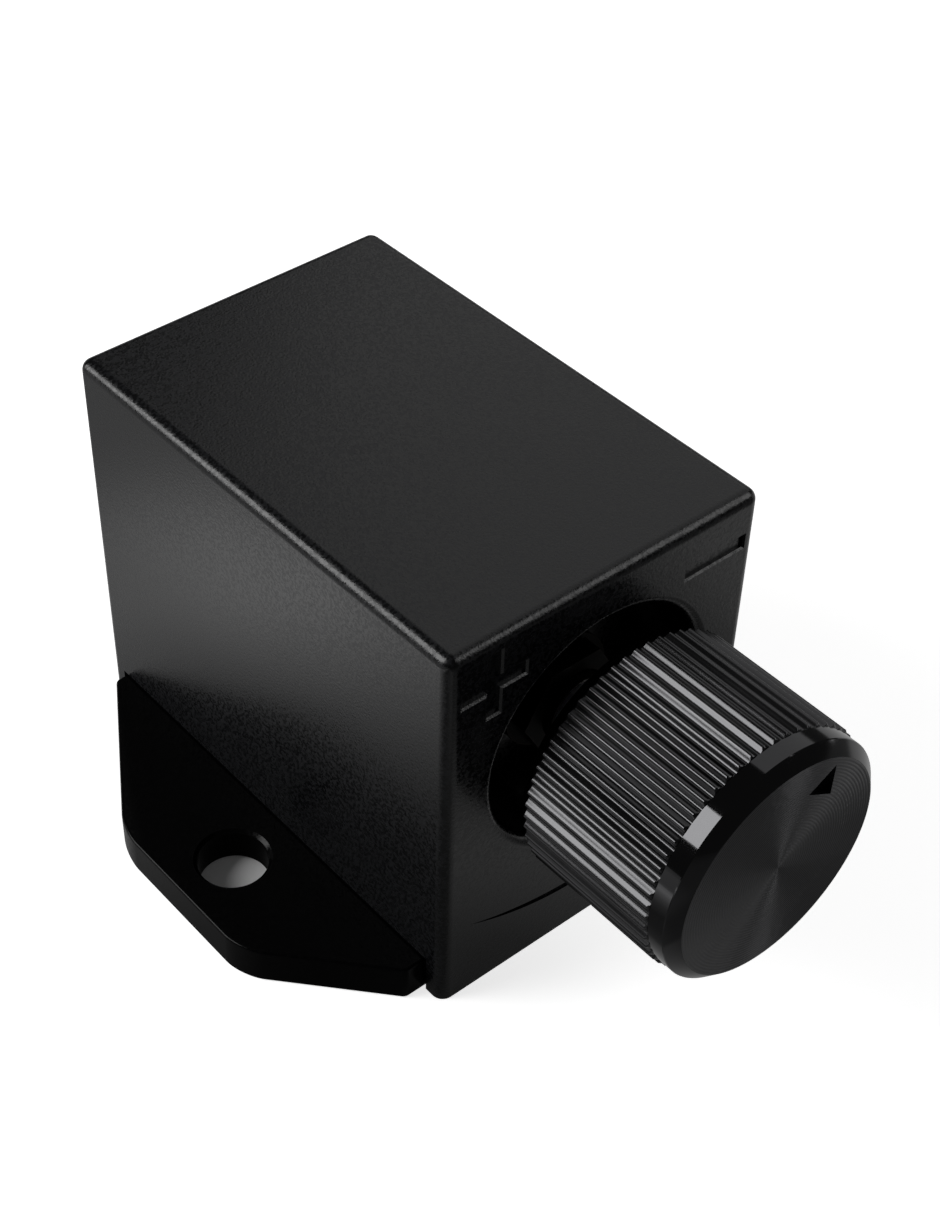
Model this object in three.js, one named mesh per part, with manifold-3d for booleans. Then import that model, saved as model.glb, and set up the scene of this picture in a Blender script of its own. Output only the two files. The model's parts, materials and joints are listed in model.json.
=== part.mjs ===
// Rotary brake controller: a small black box on a screw-down flange, with one metal knob that turns to
// set the braking gain and pushes in to apply the trailer brakes by hand.
//
// Millimetres, +Z up. The unit stands on its flange. +X is to the right as seen from the knob, and the
// knob points to -Y. The origin is under the middle of the bounding box, on the flange's flat underside.

import * as THREE from 'three';
import { mergeVertices } from 'three/addons/utils/BufferGeometryUtils.js';
import Module from 'manifold-3d';

const wasm = await Module();
wasm.setup();

// ---------------------------------------------------------------- driving dimensions

const BODY_WIDTH = 35.5;
const BODY_LENGTH = 54;
const BODY_HEIGHT = 43;
const WALL = 2.2;
const CORNER_RADIUS = 0.9;
const GAP = 0.3; // clearance between neighbouring pieces
const OVERLAP = 0.1; // how far joined shapes reach into each other

const KNOB_RADIUS = 12.5;
const KNOB_REACH = 21.6; // knob face to the front wall
const KNOB_STANDOFF = 2.7; // back of the knob to the front wall
const AXIS_Z = 25.4; // height of the knob's axis
const TEETH = 58;
const POINTER_ANGLE = 59; // degrees above +X, the low end of the knob's turn

const RECESS_RADIUS = 12.4; // round pocket in the front wall, behind the knob
const RECESS_DEPTH = 6.5;
const RECESS_FLOOR = 1.8;
const RECESS_CHAMFER = 0.8;
const RECESS_BACK = RECESS_DEPTH + RECESS_FLOOR;
const CUP_WALL = 1.6;

const PLATE_THICKNESS = 4;
const PLATE_FRONT = WALL + GAP;
const PLATE_REAR = BODY_LENGTH - WALL - GAP;
const EAR_REACH = 30.4; // middle of the body to the ear's outer edge
const EAR_HOLE_RADIUS = 3.5;
const EAR_HOLE_X = 24.1;
const EAR_HOLE_Y = 23.7;

const SCREW_X = 12.5;
const BOSS_REACH = 3; // middle of a cover screw to its boss's inner faces
const BOSS_HEIGHTS = [5.4, 16];
const PILOT_RADIUS = 1.5;
const PILOT_HEIGHTS = [4, 13];
const CONNECTOR_HOLE = { halfWidth: 8.5, heights: [11.6, 22.2] };
const SCREW_YS = [5.3, BODY_LENGTH - 5.3];
const STANDOFF_X = 11;
const STANDOFF_RADIUS = 2.5;
const STANDOFF_BORE = 1.3;
const STANDOFF_YS = [14, 43.2];

const BOARD_BOTTOM = 10;
const BOARD_THICKNESS = 1.6;
const BOARD_WIDTH = 26.6;
const BOARD_FRONT = 11;
const BOARD_REAR = 45.5;
const ON_BOARD = BOARD_BOTTOM + BOARD_THICKNESS + GAP;

const SHAFT_RADIUS = 3;
const BUSHING_RADIUS = 3.4;
const CAN_SIZE = 15;
const ROUND = 32; // sides of a round piece
const SMALL_ROUND = 16; // sides of a small round piece
const CURVE_STEPS = 6; // straight steps in a rounded corner of an outline

// y along the knob's axis, from the front wall
const BUSHING_REAR = RECESS_BACK + GAP + 1.2;
const CAN_FRONT = BUSHING_REAR + GAP;
const CAN_REAR = CAN_FRONT + 8.4;
const ROTOR_FRONT = CAN_FRONT + 4.5;
const WAFER_FRONT = CAN_REAR - 1.4;
const CONTROL_BOARD_FRONT = CAN_REAR + 2.2;
const CONTROL_BOARD_REAR = CONTROL_BOARD_FRONT + 1.2;
const SHAFT_REAR = CAN_REAR + 0.2;
const SWITCH_FRONT = CONTROL_BOARD_REAR + GAP;

// ---------------------------------------------------------------- finishes

function finish(color, roughness, metalness) {
  return new THREE.MeshStandardMaterial({ color, roughness, metalness });
}

const BLACK_ALUMINIUM = finish(0x141416, 0.3, 0.9);
const TEXTURED_PLASTIC = finish(0x1b1c1f, 0.55, 0);
const BLACK_PLASTIC = finish(0x17181b, 0.6, 0);
const BRIGHT_STEEL = finish(0xb8bbbf, 0.35, 1);
const TINNED_BRASS = finish(0xd2c9a8, 0.3, 1);
const DARK_BRASS = finish(0x3a352b, 0.4, 1);
const BARE_ALUMINIUM = finish(0xa9adb2, 0.4, 1);
const GREEN_BOARD = finish(0x14532d, 0.5, 0);
const BROWN_WAFER = finish(0x6b3f1d, 0.6, 0);
const GREY_PLASTIC = finish(0x4b4e53, 0.55, 0);
const RUBBER = finish(0x101010, 0.9, 0);

// ---------------------------------------------------------------- from geometry to solids and back

// A closed geometry as a solid: its shared corners merged and its faces turned outwards.
function solid(geometry) {
  const bare = geometry.clone();
  bare.deleteAttribute('normal');
  bare.deleteAttribute('uv');
  const merged = mergeVertices(bare, 1e-4);
  const corners = merged.attributes.position.array;
  const triangles = [];
  let volume = 0;
  for (let i = 0; i < merged.index.count; i += 3) {
    const [a, b, c] = merged.index.array.slice(i, i + 3);
    if (a === b || b === c || c === a) continue;
    const [p, q, r] = [a, b, c].map((k) => new THREE.Vector3().fromArray(corners, 3 * k));
    volume += p.dot(q.cross(r));
    triangles.push([a, b, c]);
  }
  const outward = volume > 0 ? triangles : triangles.map(([a, b, c]) => [a, c, b]);
  return new wasm.Manifold(new wasm.Mesh({
    numProp: 3,
    vertProperties: Float32Array.from(corners),
    triVerts: Uint32Array.from(outward.flat()),
  }));
}

function toGeometry(body) {
  const mesh = body.getMesh();
  const geometry = new THREE.BufferGeometry();
  geometry.setAttribute('position', new THREE.BufferAttribute(Float32Array.from(mesh.vertProperties), 3));
  geometry.setIndex(new THREE.BufferAttribute(Uint32Array.from(mesh.triVerts), 1));
  geometry.computeVertexNormals();
  return geometry;
}

const join = (first, ...others) => others.reduce((sum, other) => sum.add(other), first);
const cut = (first, ...others) => others.reduce((rest, other) => rest.subtract(other), first);

// ---------------------------------------------------------------- basic shapes

function box([x0, x1], [y0, y1], [z0, z1]) {
  const geometry = new THREE.BoxGeometry(x1 - x0, y1 - y0, z1 - z0);
  return solid(geometry.translate((x0 + x1) / 2, (y0 + y1) / 2, (z0 + z1) / 2));
}

// A shape drawn from above, raised from z0 to z1.
function raised(shape, z0, z1) {
  const options = { depth: z1 - z0, bevelEnabled: false, curveSegments: CURVE_STEPS };
  const geometry = new THREE.ExtrudeGeometry(shape, options);
  return solid(geometry.translate(0, 0, z0));
}

// A shape drawn as seen from the front (x right, z up), run along the knob's axis from y0 to y1.
function run(shape, y0, y1) {
  return raised(shape, -y1, -y0).rotate([90, 0, 0]);
}

// A profile of [radius, y] points turned about an axis along Y at height z.
function turned(profile, sides = ROUND, z = 0) {
  const geometry = new THREE.LatheGeometry(profile.map(([r, y]) => new THREE.Vector2(r, y)), sides);
  return solid(geometry.translate(0, 0, z));
}

// A profile of [radius, z] points turned about an upright axis at x, y.
function upright(profile, x = 0, y = 0, sides = SMALL_ROUND) {
  const geometry = new THREE.LatheGeometry(profile.map(([r, z]) => new THREE.Vector2(r, z)), sides);
  return solid(geometry.rotateX(Math.PI / 2).translate(x, y, 0));
}

const rod = (radius, y0, y1, sides = ROUND) =>
  turned([[0, y0], [radius, y0], [radius, y1], [0, y1]], sides);
const ring = (inner, outer, y0, y1, sides = ROUND) =>
  turned([[inner, y0], [outer, y0], [outer, y1], [inner, y1], [inner, y0]], sides);
const post = (radius, x, y, z0, z1) => upright([[0, z0], [radius, z0], [radius, z1], [0, z1]], x, y);

function polygon(points) {
  return new THREE.Shape(points.map(([x, y]) => new THREE.Vector2(x, y)));
}

// A closed outline whose corners are rounded: each point is [x, y, radius].
function rounded(points) {
  const shape = new THREE.Shape();
  points.forEach(([x, y, radius], i) => {
    const corner = new THREE.Vector2(x, y);
    const before = new THREE.Vector2(...points.at(i - 1)).sub(corner).normalize();
    const after = new THREE.Vector2(...points[(i + 1) % points.length]).sub(corner).normalize();
    const reach = radius / Math.tan(Math.acos(before.dot(after)) / 2);
    const start = corner.clone().addScaledVector(before, reach);
    const end = corner.clone().addScaledVector(after, reach);
    if (i === 0) shape.moveTo(start.x, start.y);
    else shape.lineTo(start.x, start.y);
    if (radius > 0) shape.quadraticCurveTo(x, y, end.x, end.y);
  });
  shape.closePath();
  return shape;
}

function roundedBox([x0, x1], [y0, y1], [z0, z1], radius) {
  const outline = rounded([[x0, y0, radius], [x1, y0, radius], [x1, y1, radius], [x0, y1, radius]]);
  return raised(outline, z0, z1);
}

// ---------------------------------------------------------------- the model's groups

const unit = new THREE.Group();
const enclosure = new THREE.Group();
const control = new THREE.Group();
enclosure.position.y = KNOB_REACH - (BODY_LENGTH + KNOB_REACH) / 2; // its origin: foot of the front wall
control.position.z = AXIS_Z; // its origin: where the knob's axis meets the front wall
unit.add(enclosure);
enclosure.add(control);

function add(group, name, body, material) {
  const mesh = new THREE.Mesh(toGeometry(body), material.clone());
  mesh.name = name;
  group.add(mesh);
}

// ---------------------------------------------------------------- enclosure

const MARK_DEPTH = 0.4;
const MARK_LENGTH = 7;
const MARK_WIDTH = 1.4;
const MARK_X = 12.7;
const MARK_Z = 37.9;
const half = BODY_WIDTH / 2;

function bar(x, z, width, height) {
  return box([x - width / 2, x + width / 2], [-1, MARK_DEPTH], [z - height / 2, z + height / 2]);
}

// The crescent below the knob: two arcs that meet at its tips, widest in the middle.
function crescent() {
  const tipX = 14.6;
  const tipZ = 8.9;
  const outerDrop = 3.6;
  const innerDrop = 2.9;
  const shape = new THREE.Shape();
  shape.moveTo(-tipX, tipZ);
  shape.quadraticCurveTo(0, tipZ - 2 * outerDrop, tipX, tipZ);
  shape.quadraticCurveTo(0, tipZ - 2 * innerDrop, -tipX, tipZ);
  return run(shape, -1, MARK_DEPTH);
}

function makeHousing() {
  const block = roundedBox([-half, half], [0, BODY_LENGTH], [0, BODY_HEIGHT], CORNER_RADIUS);
  const inside = [WALL, BODY_LENGTH - WALL];
  const cavity = box([WALL - half, half - WALL], inside, [-1, BODY_HEIGHT - WALL]);
  const earSlots = box([-half - 1, half + 1], inside, [-1, PLATE_THICKNESS + GAP]);
  const cupRadius = RECESS_RADIUS + CUP_WALL;
  const cup = turned([[0, WALL / 2], [cupRadius, WALL / 2], [cupRadius, RECESS_BACK], [0, RECESS_BACK]],
    ROUND, AXIS_Z);
  const recessProfile = [
    [0, -1],
    [RECESS_RADIUS + RECESS_CHAMFER + 1, -1],
    [RECESS_RADIUS, RECESS_CHAMFER],
    [RECESS_RADIUS, RECESS_DEPTH],
    [BUSHING_RADIUS + GAP, RECESS_DEPTH],
    [BUSHING_RADIUS + GAP, RECESS_BACK + 1],
    [0, RECESS_BACK + 1],
  ];
  const recess = turned(recessProfile, ROUND, AXIS_Z);
  const bosses = [];
  const pilots = [];
  const sorted = (a, b) => [Math.min(a, b), Math.max(a, b)];
  for (const side of [-1, 1]) {
    for (const y of SCREW_YS) {
      const ahead = y < BODY_LENGTH / 2;
      const wallX = side * (half - WALL + OVERLAP);
      const innerX = side * (SCREW_X - BOSS_REACH);
      const wallY = ahead ? WALL - OVERLAP : BODY_LENGTH - WALL + OVERLAP;
      const innerY = ahead ? y + BOSS_REACH : y - BOSS_REACH;
      bosses.push(box(sorted(wallX, innerX), sorted(wallY, innerY), BOSS_HEIGHTS));
      pilots.push(post(PILOT_RADIUS, side * SCREW_X, y, ...PILOT_HEIGHTS));
    }
  }
  const { halfWidth, heights } = CONNECTOR_HOLE;
  const connectorHole = box([-halfWidth, halfWidth], [BODY_LENGTH - WALL - 1, BODY_LENGTH + 1], heights);
  const plusUpright = bar(-MARK_X, MARK_Z, MARK_WIDTH, MARK_LENGTH);
  const plusAcross = bar(-MARK_X, MARK_Z, MARK_LENGTH, MARK_WIDTH);
  const minus = bar(MARK_X, MARK_Z, MARK_LENGTH, MARK_WIDTH);
  const shell = join(cut(block, cavity), cup, ...bosses);
  const marks = [plusUpright, plusAcross, minus, crescent()];
  return cut(shell, earSlots, recess, ...pilots, connectorHole, ...marks);
}

function basePlateOutline() {
  const right = [
    [19.9, PLATE_FRONT, 0.8],
    [EAR_REACH, 14.1, 6],
    [EAR_REACH, 33.4, 8],
    [19, PLATE_REAR, 0.8],
  ];
  const left = right.map(([x, y, radius]) => [-x, y, radius]).reverse();
  return rounded([...right, ...left]);
}

function makeBasePlate() {
  const plate = raised(basePlateOutline(), 0, PLATE_THICKNESS);
  const standoffs = [];
  const holes = [];
  const through = PLATE_THICKNESS + 1;
  const earHole = [[0, -1], [EAR_HOLE_RADIUS, -1], [EAR_HOLE_RADIUS, through], [0, through]];
  const countersink = [[0, -1], [3.3, -1], [3.3, 0.4], [1.6, 2.1], [1.6, through], [0, through]];
  for (const side of [-1, 1]) {
    holes.push(upright(earHole, side * EAR_HOLE_X, EAR_HOLE_Y, ROUND));
    for (const y of SCREW_YS) {
      holes.push(upright(countersink, side * SCREW_X, y));
    }
    for (const y of STANDOFF_YS) {
      const x = side * STANDOFF_X;
      standoffs.push(post(STANDOFF_RADIUS, x, y, PLATE_THICKNESS - OVERLAP, BOARD_BOTTOM - GAP));
      holes.push(post(STANDOFF_BORE, x, y, PLATE_THICKNESS, BOARD_BOTTOM));
    }
  }
  return cut(join(plate, ...standoffs), ...holes);
}

function makeGasket() {
  const outer = half - WALL - GAP;
  const width = 1.4;
  const thickness = 0.8;
  const from = PLATE_THICKNESS + GAP;
  const frame = box([-outer, outer], [PLATE_FRONT, PLATE_REAR], [from, from + thickness]);
  const across = [width - outer, outer - width];
  const opening = box(across, [PLATE_FRONT + width, PLATE_REAR - width], [from - 1, from + thickness + 1]);
  return cut(frame, opening);
}

// A countersunk screw with a crossed drive, its point upwards.
function makeCoverScrew(x, y) {
  const profile = [[0, 0.3], [2.9, 0.3], [2.9, 0.6], [1.2, 2.3], [1.2, 11.5], [0, 12.3]];
  const driveDepth = 1.3;
  const arms = [[0.5, 1.7], [1.7, 0.5]];
  const slots = arms.map(([w, d]) => box([x - w, x + w], [y - d, y + d], [0, driveDepth]));
  return cut(upright(profile, x, y), ...slots);
}

add(enclosure, 'housing', makeHousing(), TEXTURED_PLASTIC);
add(enclosure, 'base_plate', makeBasePlate(), BLACK_PLASTIC);
add(enclosure, 'base_gasket', makeGasket(), RUBBER);
let coverScrews = 0;
for (const x of [-SCREW_X, SCREW_X]) {
  for (const y of SCREW_YS) {
    coverScrews += 1;
    add(enclosure, `cover_screw_${coverScrews}`, makeCoverScrew(x, y), BRIGHT_STEEL);
  }
}

// ---------------------------------------------------------------- knob

const KNURL_FRONT = -18.95; // y of the knurl's front end
const KNURL_DEPTH = 0.45;
const BAND_FRONT = -20.55; // y where the chamfer to the face begins
const BAND_RADIUS = 12.2;
const FACE_RADIUS = 11.1;
const KNURL_BACK = -3.8;
const COLLAR_RADII = [12, 11.4];
const RELIEF_RADIUS = 10.7;
const RELIEF_FRONT = -9;
const POINTER_DEPTH = 0.8;
const CORE_RADIUS = 5;
const BORE_WALL = 1.9; // from the core to the relief behind the knob
const CORE_FRONT = -17.4;
const CORE_BACK = -KNOB_STANDOFF - 0.3;

// Teeth with a narrow crest, straight flanks and a narrow root, one pitch apart.
function knurlOutline() {
  const pitch = (2 * Math.PI) / TEETH;
  const root = KNOB_RADIUS - KNURL_DEPTH;
  const tooth = [[-0.07, KNOB_RADIUS], [0.07, KNOB_RADIUS], [0.44, root], [0.56, root]];
  const points = [];
  for (let i = 0; i < TEETH; i += 1) {
    for (const [share, radius] of tooth) {
      const angle = (i + share) * pitch;
      points.push([radius * Math.cos(angle), radius * Math.sin(angle)]);
    }
  }
  return polygon(points);
}

// A shallow triangular pocket near the rim of the face, its tip pointing outwards.
function pointerPocket() {
  const outline = polygon([[7.4, -1.7], [7.4, 1.7], [10.3, 0]]);
  const pocket = run(outline, -KNOB_REACH - 1, -KNOB_REACH + POINTER_DEPTH);
  return pocket.rotate([0, -POINTER_ANGLE, 0]);
}

function makeKnob() {
  const knurl = run(knurlOutline(), KNURL_FRONT, KNURL_BACK);
  const nose = turned([
    [0, -KNOB_REACH],
    [FACE_RADIUS, -KNOB_REACH],
    [BAND_RADIUS, BAND_FRONT],
    [BAND_RADIUS, KNURL_FRONT + OVERLAP],
    [0, KNURL_FRONT + OVERLAP],
  ]);
  const [collarFront, collarBack] = COLLAR_RADII;
  const collar = turned([
    [0, KNURL_BACK - OVERLAP],
    [collarFront, KNURL_BACK - OVERLAP],
    [collarBack, -KNOB_STANDOFF],
    [0, -KNOB_STANDOFF],
  ]);
  const bore = rod(CORE_RADIUS + GAP, CORE_FRONT - GAP, 0);
  const relief = ring(CORE_RADIUS + BORE_WALL, RELIEF_RADIUS, RELIEF_FRONT, 0);
  return cut(join(knurl, nose, collar), bore, relief, pointerPocket());
}

// The shaft's D-shaped section: a circle with a flat on one side.
function shaftSection(radius, flat) {
  const start = Math.acos(flat / radius);
  const shape = new THREE.Shape();
  shape.absarc(0, 0, radius, start, 2 * Math.PI - start, false);
  shape.closePath();
  return shape;
}

function makeKnobCore() {
  const sleeve = rod(CORE_RADIUS, CORE_FRONT, CORE_BACK);
  const socket = run(shaftSection(SHAFT_RADIUS + GAP, SHAFT_RADIUS - 1 + GAP), CORE_FRONT + 1.5, 0);
  return cut(sleeve, socket);
}

const knob = new THREE.Group();
control.add(knob);
add(knob, 'knob_body', makeKnob(), BLACK_ALUMINIUM);
add(knob, 'knob_core', makeKnobCore(), GREY_PLASTIC);

// ---------------------------------------------------------------- turning and pushing control

const CLIP_FRONT = BUSHING_REAR + 1.9;

function makeShaft() {
  const section = shaftSection(SHAFT_RADIUS, SHAFT_RADIUS - 1);
  const shaft = run(section, CORE_FRONT + 1.8, SHAFT_REAR);
  const clipGroove = ring(SHAFT_RADIUS - 0.5, SHAFT_RADIUS + 1, CLIP_FRONT - 0.2, CLIP_FRONT + 0.8);
  return cut(shaft, clipGroove);
}

// The open ring that snaps into the shaft's groove and stops it from being pulled out.
function makeShaftClip() {
  const washer = ring(SHAFT_RADIUS - 0.2, SHAFT_RADIUS + 1.6, CLIP_FRONT, CLIP_FRONT + 0.6);
  return cut(washer, box([-1.6, 1.6], [0, 20], [-8, 0]));
}

function makeBushing() {
  const side = CAN_SIZE / 2;
  const thread = rod(BUSHING_RADIUS, RECESS_DEPTH - 4, BUSHING_REAR);
  const flange = box([-side, side], [BUSHING_REAR - 1.2, BUSHING_REAR], [-side, side]);
  return cut(join(thread, flange), rod(SHAFT_RADIUS + 0.15, 0, BUSHING_REAR + 1));
}

function makeNut() {
  const hexagon = polygon([0, 1, 2, 3, 4, 5].map((i) => {
    const angle = (i * Math.PI) / 3;
    return [5.75 * Math.cos(angle), 5.75 * Math.sin(angle)];
  }));
  const nut = run(hexagon, RECESS_DEPTH - 3.1, RECESS_DEPTH - 1.1);
  return cut(nut, rod(BUSHING_RADIUS + GAP, 0, RECESS_DEPTH));
}

const makeWasher = () => ring(BUSHING_RADIUS + GAP, 6, RECESS_DEPTH - GAP - 0.5, RECESS_DEPTH - GAP);

// A square outline about the knob's axis, as seen from the front.
function square(side, radius) {
  const reach = side / 2;
  const corners = [[-reach, -reach], [reach, -reach], [reach, reach], [-reach, reach]];
  return rounded(corners.map(([x, y]) => [x, y, radius]));
}

function makeCan() {
  const outer = run(square(CAN_SIZE, 1.2), CAN_FRONT, CAN_REAR);
  const pocket = rod(6.4, CAN_FRONT + 1.2, CAN_REAR + 1);
  const hole = rod(SHAFT_RADIUS + 0.5, 0, CAN_REAR);
  const seat = box([-6.8, 6.8], [WAFER_FRONT - GAP, CAN_REAR + 1], [-20, 6.8]);
  return cut(outer, pocket, hole, seat);
}

// The disc that the shaft turns but slides through.
function makeRotor() {
  const keyway = run(shaftSection(SHAFT_RADIUS + GAP, SHAFT_RADIUS - 1 + GAP), 0, CAN_REAR);
  return cut(rod(5.6, ROTOR_FRONT, ROTOR_FRONT + 1.2), keyway);
}

function makeWiper() {
  const from = ROTOR_FRONT + 1.2 + GAP;
  return cut(ring(3.8, 5.2, from, from + 0.4), box([-2, 2], [0, 30], [-6, 0]));
}

// The wafer that carries the resistive track, with a tongue down to its terminals.
function makeWafer() {
  const outline = rounded([[-6.4, -11, 0.5], [6.4, -11, 0.5], [6.4, 6.4, 1], [-6.4, 6.4, 1]]);
  return cut(run(outline, WAFER_FRONT, WAFER_FRONT + 1), rod(SHAFT_RADIUS + GAP, 0, 30));
}

function makeTerminal(x) {
  const from = WAFER_FRONT + 1 + GAP;
  const lug = box([x - 0.6, x + 0.6], [from, from + 0.5], [-10.4, -8.4]);
  const tail = box([x - 0.6, x + 0.6], [from, CONTROL_BOARD_FRONT - GAP], [-10.4, -9.8]);
  return join(lug, tail);
}

add(control, 'bushing_nut', makeNut(), DARK_BRASS);
add(control, 'bushing_washer', makeWasher(), DARK_BRASS);
add(control, 'control_bushing', makeBushing(), DARK_BRASS);
add(control, 'control_can', makeCan(), BARE_ALUMINIUM);
add(control, 'track_wafer', makeWafer(), BROWN_WAFER);
[-5, 0, 5].forEach((x, i) => add(control, `track_terminal_${i + 1}`, makeTerminal(x), TINNED_BRASS));
add(control, 'wiper_rotor', makeRotor(), GREY_PLASTIC);
add(control, 'wiper_contact', makeWiper(), TINNED_BRASS);
add(knob, 'control_shaft', makeShaft(), BARE_ALUMINIUM);
add(knob, 'shaft_clip', makeShaftClip(), BRIGHT_STEEL);

// ---------------------------------------------------------------- push switch behind the shaft

const SWITCH_REAR = SWITCH_FRONT + 7.3;
const SPRING_FRONT = SWITCH_FRONT + 2.6;
const SPRING_LENGTH = 4;

function makeSwitchBody() {
  const body = run(square(10, 0.8), SWITCH_FRONT, SWITCH_REAR);
  return cut(body, rod(2, 0, SWITCH_REAR), rod(3.5, SWITCH_FRONT + 1.2, SWITCH_REAR + 1));
}

function makeSwitchCap() {
  const lid = run(square(10, 0.8), SWITCH_REAR + GAP, SWITCH_REAR + GAP + 1);
  return join(lid, rod(3.1, SPRING_FRONT + SPRING_LENGTH + GAP, SWITCH_REAR + GAP + 0.1));
}

function makePlunger() {
  const stemFront = SHAFT_REAR + GAP;
  const flangeFront = SWITCH_FRONT + 1.5;
  const flangeRear = flangeFront + 0.8;
  const tip = flangeFront + 2;
  const stem = [[0, stemFront], [1.6, stemFront], [1.6, flangeFront]];
  const flange = [[3, flangeFront], [3, flangeRear], [1, flangeRear], [1, tip], [0, tip]];
  return turned([...stem, ...flange], SMALL_ROUND);
}

function makeReturnSpring() {
  const radius = 2.2;
  const wire = 0.3;
  const turns = 4;
  const rise = SPRING_LENGTH - 2 * wire;
  class Helix extends THREE.Curve {
    getPoint(t) {
      const angle = 2 * Math.PI * turns * t;
      const along = SPRING_FRONT + wire + rise * t;
      return new THREE.Vector3(radius * Math.cos(angle), along, radius * Math.sin(angle));
    }
  }
  const section = new THREE.Shape();
  section.absarc(0, 0, wire, 0, 2 * Math.PI);
  const options = { steps: turns * 12, extrudePath: new Helix(), curveSegments: 3 };
  return solid(new THREE.ExtrudeGeometry(section, options));
}

function makeControlBoard() {
  const heights = [ON_BOARD - AXIS_Z, 11];
  const board = box([-10, 10], [CONTROL_BOARD_FRONT, CONTROL_BOARD_REAR], heights);
  return cut(board, rod(SHAFT_RADIUS + 0.5, 0, 40));
}

add(control, 'control_board', makeControlBoard(), GREEN_BOARD);
add(control, 'switch_body', makeSwitchBody(), BLACK_PLASTIC);
add(control, 'switch_plunger', makePlunger(), GREY_PLASTIC);
add(control, 'return_spring', makeReturnSpring(), BRIGHT_STEEL);
add(control, 'switch_cap', makeSwitchCap(), BLACK_PLASTIC);

// ---------------------------------------------------------------- main circuit board and what it carries

function makeMainBoard() {
  const across = [-BOARD_WIDTH / 2, BOARD_WIDTH / 2];
  const heights = [BOARD_BOTTOM, BOARD_BOTTOM + BOARD_THICKNESS];
  const board = roundedBox(across, [BOARD_FRONT, BOARD_REAR], heights, 1);
  const holes = [-STANDOFF_X, STANDOFF_X].flatMap((x) =>
    STANDOFF_YS.map((y) => post(1.4, x, y, 0, BOARD_BOTTOM + 5)));
  return cut(board, ...holes);
}

function makeBoardScrew(x, y) {
  const tip = PLATE_THICKNESS + 1;
  const rim = ON_BOARD + 1;
  const crown = ON_BOARD + 1.4;
  const shank = [[0, tip], [1, tip + 0.4], [1, ON_BOARD]];
  const head = [[2, ON_BOARD], [2, rim], [1.6, crown], [0, crown]];
  const slot = box([x - 1.2, x + 1.2], [y - 0.25, y + 0.25], [ON_BOARD + 0.8, crown + 1]);
  return cut(upright([...shank, ...head], x, y), slot);
}

// A chip with a row of flat legs along each of its four sides.
function makeChip(x, y, size, legs) {
  const edge = size / 2;
  const body = box([x - edge, x + edge], [y - edge, y + edge], [ON_BOARD + 0.2, ON_BOARD + 1.2]);
  const rows = [];
  for (let i = 0; i < legs; i += 1) {
    const along = (i - (legs - 1) / 2) * (size / (legs + 1));
    for (const side of [-1, 1]) {
      const reach = side > 0 ? [edge - 0.1, edge + 0.8] : [-edge - 0.8, 0.1 - edge];
      const across = [along - 0.2, along + 0.2];
      const shift = (span, by) => span.map((end) => end + by);
      rows.push(box(shift(across, x), shift(reach, y), [ON_BOARD, ON_BOARD + 0.5]));
      rows.push(box(shift(reach, x), shift(across, y), [ON_BOARD, ON_BOARD + 0.5]));
    }
  }
  return join(body, ...rows);
}

const SPREADER_LEFT = -13;
const SPREADER_RIGHT = -11;
const TRANSISTOR_YS = [26.8, 36];
const TAB_LEFT = SPREADER_RIGHT + GAP;
const TAB_RIGHT = TAB_LEFT + 1.3;
const TAB_HOLE_Z = 27.5;

// A rod along X, at height z and depth y.
function crossRod(radius, x0, x1, y, z) {
  const geometry = new THREE.CylinderGeometry(radius, radius, x1 - x0, SMALL_ROUND);
  return solid(geometry.rotateZ(Math.PI / 2).translate((x0 + x1) / 2, y, z));
}

function makeHeatSpreader() {
  const plate = box([SPREADER_LEFT, SPREADER_RIGHT], [21, 41], [ON_BOARD, 34]);
  return cut(plate, ...TRANSISTOR_YS.map((y) => crossRod(1.5, -15, -9, y, TAB_HOLE_Z)));
}

function makeTransistor(y) {
  const across = [y - 4.4, y + 4.4];
  const tab = box([TAB_LEFT, TAB_RIGHT], across, [14.8, 31]);
  const body = box([TAB_RIGHT - 0.1, TAB_RIGHT + 3.2], across, [14.5, 23.5]);
  const legs = [-2.5, 0, 2.5].map((shift) =>
    box([-8.4, -7.9], [y + shift - 0.4, y + shift + 0.4], [ON_BOARD, 14.6]));
  return cut(join(tab, body, ...legs), crossRod(1.6, -12, -8, y, TAB_HOLE_Z));
}

function makeSpreaderScrew(y) {
  const shank = crossRod(1.2, SPREADER_LEFT + 0.2, TAB_RIGHT + 1, y, TAB_HOLE_Z);
  const head = crossRod(2.4, TAB_RIGHT + GAP, TAB_RIGHT + 2, y, TAB_HOLE_Z);
  const slotHeights = [TAB_HOLE_Z - 1.6, TAB_HOLE_Z + 1.6];
  const slot = box([TAB_RIGHT + 1.2, TAB_RIGHT + 3], [y - 0.3, y + 0.3], slotHeights);
  return cut(join(shank, head), slot);
}

function makeCapacitor(y) {
  const profile = [[0, ON_BOARD], [3.9, ON_BOARD], [3.9, ON_BOARD + 1.6], [3.6, ON_BOARD + 2.1],
    [3.9, ON_BOARD + 2.6], [3.9, 29.4], [3.5, 29.8], [0, 29.8]];
  return upright(profile, 9.2, y);
}

function makeShunt() {
  const from = ON_BOARD - AXIS_Z;
  const outline = polygon([[-3.4, from], [-2.6, from], [-2.6, from + 3.4], [2.6, from + 3.4], [2.6, from],
    [3.4, from], [3.4, from + 4.2], [-3.4, from + 4.2]]);
  return run(outline, 26, 28.6);
}

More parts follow.
